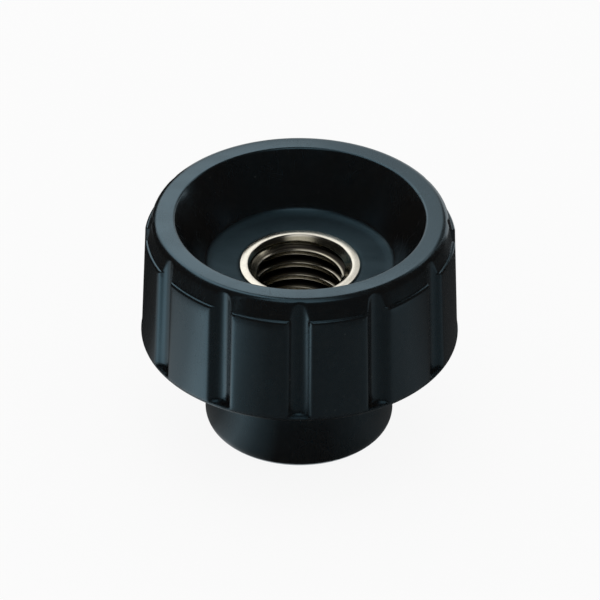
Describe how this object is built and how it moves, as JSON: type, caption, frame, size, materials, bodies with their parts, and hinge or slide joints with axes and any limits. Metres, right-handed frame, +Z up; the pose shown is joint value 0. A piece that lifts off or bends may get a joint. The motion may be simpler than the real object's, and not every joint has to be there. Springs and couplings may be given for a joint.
{
  "type": "fluted knob",
  "caption": "Cupped clamping knob with a fluted skirt, a round hub below and a threaded brass bush moulded through its middle.",
  "frame": {"origin": "middle of the hub's end face, the face that clamps and that the knob stands on", "axes": "+Z up the knob's axis from the hub to the rim of the cup, with one flute facing -Y"},
  "size_m": [0.032, 0.032, 0.0242],
  "materials": {
    "phenolic": "moulded black, semi-gloss",
    "brass": "turned, bright"
  },
  "bodies": {
    "root": {"knob_body": "phenolic", "threaded_bush": "brass"}
  },
  "joints": []
}
